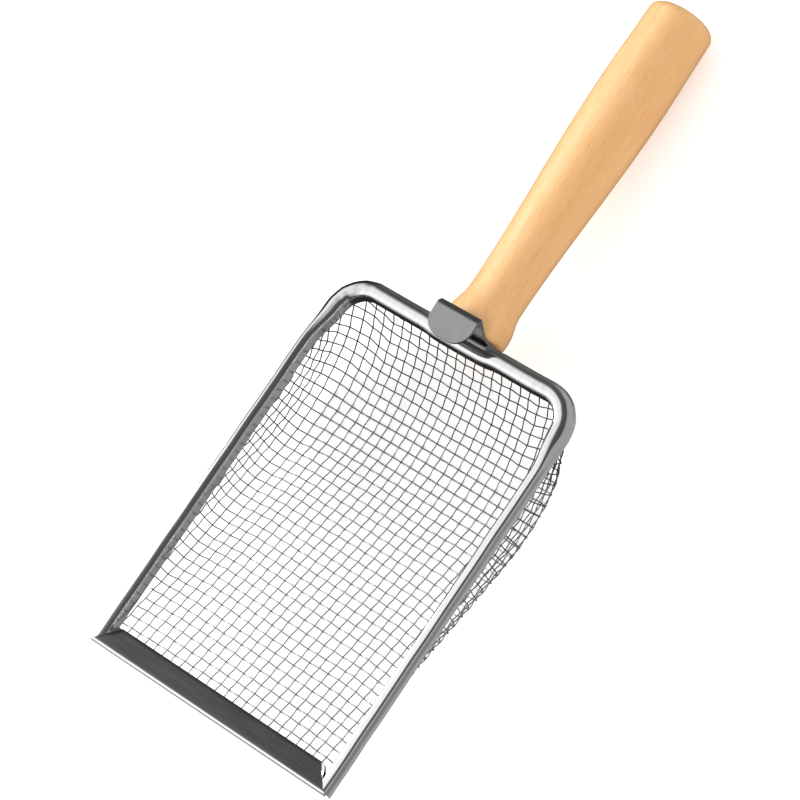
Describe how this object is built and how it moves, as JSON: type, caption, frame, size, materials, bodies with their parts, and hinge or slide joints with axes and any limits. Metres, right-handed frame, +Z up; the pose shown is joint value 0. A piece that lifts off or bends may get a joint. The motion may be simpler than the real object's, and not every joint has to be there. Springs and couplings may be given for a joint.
{
  "type": "beach sand scoop",
  "caption": "Sand sifting scoop: woven wire basket in a folded steel rim with a flat front lip, a folded bracket and a turned wooden grip.",
  "frame": {"origin": "middle of the bounding box's base, on the table under the middle of the scoop as it rests on its basket and the end of its grip", "axes": "+X across the scoop, +Y from the front lip towards the end of the grip, +Z up"},
  "size_m": [0.1208, 0.3371, 0.0477],
  "materials": {
    "polished_steel": "polished stainless sheet with strong reflections",
    "brushed_lip": "dark fine-brushed stainless sheet with a bright rolled edge",
    "mesh_wire": "drawn stainless wire, plain square weave",
    "brushed_bracket": "brushed stainless plate with bright cut edges",
    "screw_steel": "bright steel pan head",
    "beech": "turned light hardwood, satin clear varnish, fine lengthwise grain"
  },
  "bodies": {
    "root": {"rim_channel": "polished_steel", "front_lip": "brushed_lip", "wire_cloth": "mesh_wire", "handle_bracket": "brushed_bracket", "handle_screw": "screw_steel", "handle": "beech"}
  },
  "joints": []
}
